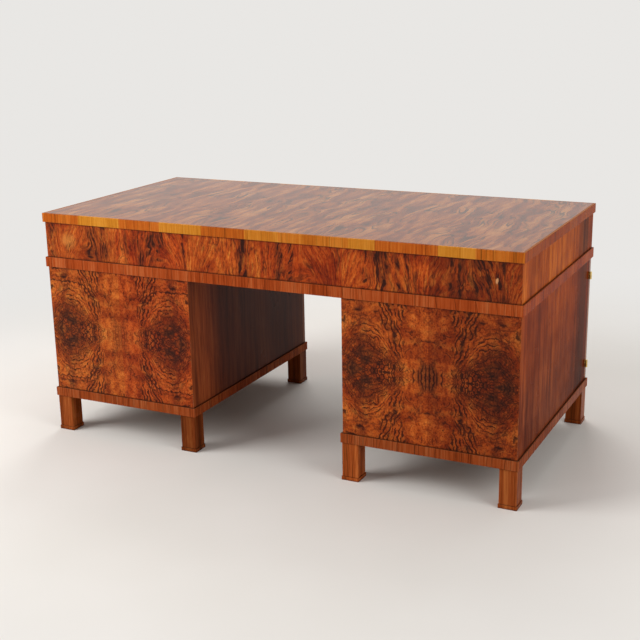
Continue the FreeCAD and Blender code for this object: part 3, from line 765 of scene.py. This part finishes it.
print("Fibres laid across an edge are", pore_width, "millimetres wide")

# %% Bands of the waist and the plinth
waist_walnut = [(0.32, "71280B"), (0.5, "9F441C"), (0.68, "B46337")]
between_bands = 300.0
waist_leaf = 58
plinth_painted_shade = "E5F2FF"
end_tint = "FFE688"

band, tree, mm, wood, grain, _, on_end = cross_banded(
    "cross_banded_walnut", waist_leaf, waist_walnut, seam_strength=0.85)
# Painted shade: the plinth's band, low on the desk, is darker and cooler than the waist's.
low = add(tree, "Math LESS_THAN", (add(tree, "SeparateXYZ", (mm,), "Z"), between_bands))
wood = add(tree, "Mix", {0: low, 6: wood, 7: plinth_painted_shade}, **tinted)
high_end = add(tree, "Math MULTIPLY", (on_end, add(tree, "Math SUBTRACT", (1.0, low))))
wood = add(tree, "Mix", {0: high_end, 6: wood, 7: end_tint}, **tinted)
polish(tree, wood, grain, roughness=0.25, shine=0.01)
print("Made", band.name, "in leaves", waist_leaf, "millimetres wide")

# %% Band of the top, with its golden sapwood
edge_walnut = [(0.32, "923A10"), (0.5, "B4581C"), (0.68, "C8742C")]
edge_sapwood = [(0.32, "A4601A"), (0.5, "C07A24"), (0.68, "D2923A")]
golden_runs = [
    (0.0, 0.1), (0.089, 1.0), (0.184, 0.05), (0.279, 0.9), (0.372, 0.1), (0.467, 0.7), (0.536, 0.4),
    (0.676, 0.8), (0.728, 0.0), (0.847, 0.9), (0.913, 0.2)]
edge_leaf = 46
edge_end_tint = "DAC092"

edge_band, tree, mm, wood, grain, run, on_end = cross_banded(
    "cross_banded_walnut_of_top", edge_leaf, edge_walnut, seam_strength=0.35)
sapwood = add(tree, "ValToRGB", (grain,), stops=edge_sapwood)
gold = add(tree, "MapRange", (run, -desk_half_length, desk_half_length))
gold = add(tree, "ValToRGB", (gold,), stops=golden_runs)
gold.node.color_ramp.interpolation = "CONSTANT"
gold = add(tree, "Math MULTIPLY", (gold, add(tree, "Math SUBTRACT", (1.0, on_end))))
wood = add(tree, "Mix", {0: gold, 6: wood, 7: sapwood}, **blended)
wood = add(tree, "Mix", {0: on_end, 6: wood, 7: edge_end_tint}, **tinted)
polish(tree, wood, grain, roughness=0.22, shine=0.01)
print("Made", edge_band.name, "with", len(golden_runs), "runs of tone")

# %% [markdown]
# # Walnut of the top
# The top is veneered with four wide leaves, opened like a book along the desk, and is the glossiest
# part. The photograph hardly shows its figure under the gloss, so it is drawn as walnut of this
# kind has it: long brown swells with dark growth lines. It is seen almost edge on, where gloss
# would hide all of it. A medium specular level leaves the figure in sight from above and the shine
# from low down.

# %% Leaves of the top
top_leaf = 421.0
top_browns = [(0.30, "562812"), (0.45, "7A3A18"), (0.55, "925020"), (0.72, "AE713A")]
top_line_count = 14.0
top_line_brown = "2E140A"

top_veneer, tree, mm = new_finish("walnut_veneer_of_top")
folded = add(tree, "Math PINGPONG", (add(tree, "SeparateXYZ", (mm,), "X"), top_leaf))
lying = add(tree, "CombineXYZ", (folded, 0.0, add(tree, "SeparateXYZ", (mm,), "Y")))
grown = drifted(tree, lying, (260, 90, 2), (60, 14, 2))
mottle = fibres(tree, grown, 30, 340, 5.0)
wood = add(tree, "ValToRGB", (mottle,), stops=top_browns)
strength = patchy(tree, 0.85, lying, 160, 0.35, 0.6)
lines = growth_lines(tree, fibres(tree, grown, 110, 800, 2.0), top_line_count, strength)
wood = add(tree, "Mix", {0: lines, 6: wood, 7: top_line_brown}, **blended)
polish(tree, wood, mottle, roughness=0.14, shine=0.15)
print("Made", top_veneer.name, "from leaves of", top_leaf, "millimetres")

# %% [markdown]
# # Beech
# The drawers' boxes and the shelves are of pale beech, planed and oiled, as cabinets of this kind
# have inside. Oil leaves the wood almost matt, and it gets no painted shade in its corners. It has
# the same straight grain as the walnut, in other colours, but these boards lie: their grain runs
# from front to back, and across on the drawers' backs. The mesh could be turned for that; here the
# place is turned instead, so that what counts as up is the fibres' way.

# %% Boards that lie
def laid_down(tree, mm):
    """The place turned: fibres run front to back, or across where a board faces the front."""
    facing = add(tree, "VectorMath ABSOLUTE", (add(tree, "TexCoord", give="Normal"),))
    facing = add(tree, "Math GREATER_THAN", (add(tree, "SeparateXYZ", (facing,), "Y"), 0.6))
    x, y, z = (add(tree, "SeparateXYZ", (mm,), axis) for axis in "XYZ")
    deep = add(tree, "CombineXYZ", (x, z, y))
    across = add(tree, "CombineXYZ", (y, z, x))
    return add(tree, "Mix", {0: facing, 4: deep, 5: across}, 1, data_type="VECTOR")


underside, tree, mm = new_finish("unpolished_walnut")
wood, grain = straight_grain(tree, laid_down(tree, mm), "4A2C1C", "6A432B", "80583A")
polish(tree, wood, grain, roughness=0.6, shine=0.2, corner_shade=0)
print("Made", underside.name, "for the boards under the case")

# %% Beech
beech, tree, mm = new_finish("oiled_beech")
wood, grain = straight_grain(tree, laid_down(tree, mm), "AC7E4E", "C2935F", "CFA570")
polish(tree, wood, grain, roughness=0.45, shine=0.3, corner_shade=0)
print("Made", beech.name)

# %% [markdown]
# # Brass and steel
# Keys, locks and hinges are of cast and drawn brass, bolts and screws of steel. Handling keeps
# brass bright and the rest goes brown and dull in clouds, so both colour and roughness follow one
# noise. A metal takes its reflections in its own colour, which Metallic at 1 gives. Scratches finer
# than 0.1 mm can't show, so they are drawn 0.6 mm wide.

# %% Metals
dull_patch = 9
scratch_width = 0.6


def metal(name, dull_colour, bright_colour, roughness):
    """Old metal: darker in its dull patches, brighter where it is rubbed."""
    material, tree, mm = new_finish(name)
    dull = patches(tree, mm, dull_patch, 0.35, 0.8, 4.0)
    colour = add(tree, "Mix", {0: dull, 6: bright_colour, 7: dull_colour}, **blended)
    rough = add(tree, "MapRange", (dull, 0.0, 1.0, roughness, roughness + 0.2))
    scratches = add(tree, "TexNoise", {"Vector": mm, "Scale": 1 / scratch_width, "Detail": 3.0})
    relief = add(tree, "Bump", {"Strength": 0.2, "Distance": 0.0001, "Height": scratches})
    add(tree, "OutputMaterial", (add(tree, "BsdfPrincipled", {
        "Base Color": colour, "Metallic": 1.0, "Roughness": rough, "Normal": relief}),))
    return material


brass = metal("aged_brass", "B08C4A", "EECE82", roughness=0.2)
steel = metal("blued_steel", "55524E", "9C9A96", roughness=0.3)
print("Made", brass.name, "and", steel.name)

# %% [markdown]
# # Every piece gets its finish
# The CAD pieces could be given materials one by one. Their names say what they are, so a short list
# of words does it: each piece takes the finish of the longest word that is in its name.

# %% Finishes by name
finishes = {
    "back_panel": burr, "door_panel": burr, "frieze_back": flame, "drawer_front": flame,
    "outer_side": sides, "_end": sides, "inner_side": kneehole, "legs": plain, "feet": plain,
    "dividers": plain, "top_rail": plain, "waist_band": band, "plinth_band": band,
    "top_edge_band": edge_band, "top_panel": top_veneer, "base_board": underside,
    "waist_board": underside, "drawer_box": beech, "drawer_bottom": beech, "shelf": beech,
    "top_board": beech, "kickers": beech, "stops": beech, "_lock": brass, "_key": brass,
    "hinge": brass, "strike": brass, "pegs": brass, "_bolt": steel, "screws": steel,
}
for name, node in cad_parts.items():
    longest = max((word for word in finishes if word in name), key=len)
    for slot in node.material_slots:
        slot.material = finishes[longest]
print("All", len(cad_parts), "pieces have a finish")

# %% [markdown]
# # Keys
# Each lock has a turned brass key with a ring to hold, a collar that stops it and a bit with three
# teeth. The CAD key has the right size but plain steps. A lathe shape could be made by a Screw
# modifier; here the outline is drawn as on paper and spun about the key's axis, as the turner does.
# The ring is a torus pressed flatter.

# %% Turned and cut shapes
each = 0.001
smooth_angle = radians(32)


def turned(name, profile, steps):
    """A solid turned about the Y axis from a profile of (along, radius) in millimetres."""
    bpy.ops.object.select_all(action="DESELECT")
    bpy.ops.mesh.primitive_plane_add(size=each)
    piece = bpy.context.object
    piece.name = name
    bpy.ops.object.mode_set(mode="EDIT")
    bpy.ops.mesh.select_mode(type="VERT")
    bpy.ops.mesh.merge(type="CENTER")
    bpy.ops.transform.translate(value=(profile[0][1] * each, profile[0][0] * each, 0))
    for (along, radius), (next_along, next_radius) in zip(profile, profile[1:]):
        step = ((next_radius - radius) * each, (next_along - along) * each, 0)
        bpy.ops.mesh.extrude_vertices_move(TRANSFORM_OT_translate={"value": step})
    bpy.ops.mesh.select_all(action="SELECT")
    bpy.ops.mesh.spin(steps=steps, angle=2 * pi, center=(0, 0, 0), axis=(0, 1, 0))
    bpy.ops.mesh.select_all(action="SELECT")
    bpy.ops.mesh.remove_doubles(threshold=each / 100)
    bpy.ops.mesh.normals_make_consistent(inside=False)
    bpy.ops.object.mode_set(mode="OBJECT")
    return piece


def block(name, low, high):
    """A closed block between two corners in millimetres, left in edit mode, all selected."""
    bpy.ops.object.select_all(action="DESELECT")
    bpy.ops.mesh.primitive_cube_add(size=1)
    piece = bpy.context.object
    piece.name = name
    bpy.ops.object.mode_set(mode="EDIT")
    bpy.ops.transform.resize(value=[(b - a) * each for a, b in zip(low, high)])
    bpy.ops.transform.translate(value=[(a + b) / 2 * each for a, b in zip(low, high)])
    return piece


def merge(piece, tool, operation):
    """Join a tool to a piece or cut it out of it; the tool is used up."""
    bpy.ops.object.select_all(action="DESELECT")
    piece.select_set(True)
    bpy.context.view_layer.objects.active = piece
    cut = piece.modifiers.new(operation, "BOOLEAN")
    cut.operation = operation
    cut.object = tool
    cut.solver = "EXACT"
    bpy.ops.object.modifier_apply(modifier=cut.name)
    bpy.data.objects.remove(tool)


print("One millimetre is", each, "metres")

# %% Shank, collar and ring of the key
key_profile = (
    (361.25, 0.0), (361.25, 1.9), (361.85, 2.5), (404.8, 2.5), (405.3, 3.1), (405.9, 3.1),
    (406.3, 2.8), (406.9, 3.7), (407.5, 4.0), (409.0, 4.0), (409.6, 3.7), (410.2, 2.8),
    (411.0, 2.5), (411.9, 2.9), (413.6, 3.0), (414.8, 2.4), (415.6, 1.4), (415.8, 0.0),
)
bow_middle = 423.75
bow_radius = 10.99
bow_stock = 2.25
bow_thickness = 3.0

key_pattern = turned("key_pattern", key_profile, 32)
bpy.ops.object.select_all(action="DESELECT")
bpy.ops.mesh.primitive_torus_add(
    major_radius=(bow_radius - bow_stock) * each, minor_radius=bow_stock * each, major_segments=48,
    minor_segments=16, rotation=(0, pi / 2, 0), location=(0, bow_middle * each, 0))
bow = bpy.context.object
bpy.ops.object.transform_apply(location=True, rotation=True)
bpy.ops.object.mode_set(mode="EDIT")
bpy.ops.mesh.select_all(action="SELECT")
bpy.ops.transform.resize(value=(bow_thickness / 2 / bow_stock, 1, 1))
bpy.ops.object.mode_set(mode="OBJECT")
merge(key_pattern, bow, "UNION")
print("The key's ring is", 2 * bow_radius, "millimetres wide")

# %% Bit of the key
notches = ((364.7, 365.6), (366.9, 367.8))
tooth_length = 2.8

bit = block("bit", (-1.0, 363.25, -6.2), (1.0, 369.25, -1.0))
for notch in notches:
    for cut_at in notch:
        bpy.ops.mesh.select_all(action="SELECT")
        bpy.ops.mesh.bisect(plane_co=(0, cut_at * each, 0), plane_no=(0, 1, 0))
bpy.ops.mesh.select_all(action="DESELECT")
bpy.ops.object.mode_set(mode="OBJECT")
for face in bit.data.polygons:
    notched = any(start < face.center.y / each < end for start, end in notches)
    face.select = face.normal.z < -0.9 and not notched
bpy.ops.object.mode_set(mode="EDIT")
bpy.ops.mesh.select_mode(type="FACE")
bpy.ops.mesh.extrude_region_move(TRANSFORM_OT_translate={"value": (0, 0, -tooth_length * each)})
bpy.ops.object.mode_set(mode="OBJECT")
merge(key_pattern, bit, "UNION")
bpy.ops.object.shade_smooth_by_angle(angle=smooth_angle)
print("The key has", len(key_pattern.data.polygons), "faces")

# %% [markdown]
# # Pins and screws
# Two round-headed brass pins hold each keyhole plate, and four slotted steel screws hold each
# lock's case from inside. They are small and could be left out, but an open drawer shows them. One
# pin and one screw are turned like the key, and the screw's slot is cut out with a block.

# %% Pin and screw
pin_profile = (
    (394.4, 0.0), (394.4, 1.3), (394.75, 1.3), (395.1, 1.1), (395.35, 0.7), (395.45, 0.0))
screw_profile = (
    (359.6, 0.0), (359.6, 2.6), (359.2, 2.6), (358.85, 2.1), (358.7, 1.2), (358.65, 0.0))
pin_smooth_angle = radians(40)

pin_pattern = turned("pin_pattern", pin_profile, 20)
bpy.ops.object.shade_smooth_by_angle(angle=pin_smooth_angle)
screw_pattern = turned("screw_pattern", screw_profile, 28)
slot = block("slot", (-3.5, 358.2, -0.35), (3.5, 359.05, 0.35))
bpy.ops.object.mode_set(mode="OBJECT")
merge(screw_pattern, slot, "DIFFERENCE")
bpy.ops.object.shade_smooth_by_angle(angle=smooth_angle)
for pattern in (pin_pattern, screw_pattern):
    print(pattern.name, "has", len(pattern.data.polygons), "faces")

# %% [markdown]
# # The fittings in place
# What repeats is modelled once and copied. Instances that share a mesh would be lighter, but each
# copy is moved in its mesh, so that its object stays at the origin and a material reads its true
# place on the desk. Each copy then rides on the drawer, door or key that it belongs to.

# %% Copies
def set_down(pattern, name, place, body, metal_name, turn=0.0):
    """A copy of a pattern with its own mesh, turned and moved in its mesh, riding on a body."""
    bpy.ops.object.select_all(action="DESELECT")
    pattern.select_set(True)
    bpy.context.view_layer.objects.active = pattern
    bpy.ops.object.duplicate()
    piece = bpy.context.object
    piece.name = name
    piece.data.materials.clear()
    piece.data.materials.append({"brass": brass, "steel": steel}[metal_name])
    bpy.ops.object.mode_set(mode="EDIT")
    bpy.ops.mesh.select_all(action="SELECT")
    bpy.ops.transform.rotate(value=turn, orient_axis="Y", center_override=(0, 0, 0))
    bpy.ops.transform.translate(value=(place[0] * each, 0, place[1] * each))
    bpy.ops.object.mode_set(mode="OBJECT")
    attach(piece, body)
    return piece


key_places = {
    "left_door": (-326, 375.5), "right_door": (326, 375.5),
    "left_drawer": (-555, 700), "centre_drawer": (0, 700), "right_drawer": (555, 700),
}
for owner, place in key_places.items():
    key = set_down(key_pattern, owner + "_turned_key", place, owner + "_key", "brass")
    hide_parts(owner + "_key")
print("Set down", len(key_places), "keys")

# %% Pins of the keyhole plates
plate_drop = 3.25
pin_reach = 12.6

for owner, (x, z) in key_places.items():
    for end, sign in (("upper", 1), ("lower", -1)):
        height = z - plate_drop + sign * pin_reach
        set_down(pin_pattern, owner + "_" + end + "_pin", (x, height), owner, "brass")
print("Set down", 2 * len(key_places), "pins")

# %% Screws of the locks
# A drawer's lock lies flat and a door's stands, so the corners of its case are other ones.
case_sides = (-17, 17)
case_ends = (-11, 25)

for owner, (x, z) in key_places.items():
    corners = [(x + a, z + b) for a in case_sides for b in case_ends]
    if "door" in owner:
        inward = -1 if x > 0 else 1
        corners = [(x + a * inward, z + b) for a in case_ends for b in case_sides]
    for number, corner in enumerate(corners):
        # Every screw rests at an angle of its own.
        turn = radians(40 * number + x % 7 * 9)
        name = owner + "_lock_screw_" + str(number + 1)
        set_down(screw_pattern, name, corner, owner, "steel", turn)
for pattern in (key_pattern, pin_pattern, screw_pattern):
    bpy.data.objects.remove(pattern)
print("Set down", 4 * len(key_places), "screws")
